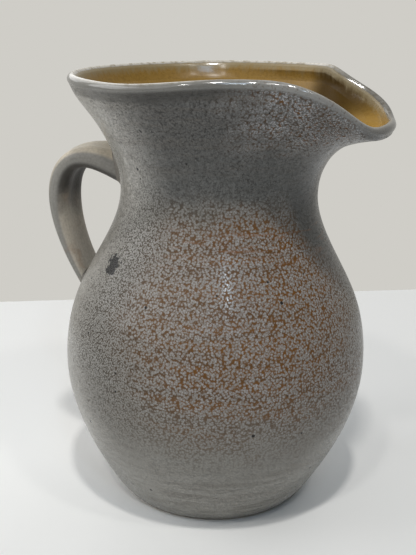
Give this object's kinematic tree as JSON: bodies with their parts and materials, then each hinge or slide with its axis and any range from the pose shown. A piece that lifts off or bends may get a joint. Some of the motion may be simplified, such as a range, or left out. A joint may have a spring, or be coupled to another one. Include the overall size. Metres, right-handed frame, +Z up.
{
  "type": "pottery pitcher",
  "caption": "Salt-glazed stoneware pitcher with a full belly, waisted neck, rolled rim, pulled pouring spout and luted strap handle, lined with amber glaze",
  "frame": {"origin": "centre of the flat base, on the surface it stands on", "axes": "+Z up along the axis it was thrown on, +X out through the spout, -X through the handle"},
  "size_m": [0.1825, 0.16, 0.228],
  "materials": {
    "salt_glazed_stoneware": "orange-peel salt glaze, grey with rust-brown flashing",
    "salt_glazed_strap": "thin satin salt glaze, grey with a brown flush",
    "salt_glazed_joint": "thin satin salt glaze over wiped slip",
    "amber_liner": "glossy amber glass"
  },
  "bodies": {
    "root": {"thrown_body": "salt_glazed_stoneware", "handle": "salt_glazed_strap", "upper_handle_joint": "salt_glazed_joint", "lower_handle_joint": "salt_glazed_joint", "liner_glaze": "amber_liner"}
  },
  "joints": []
}
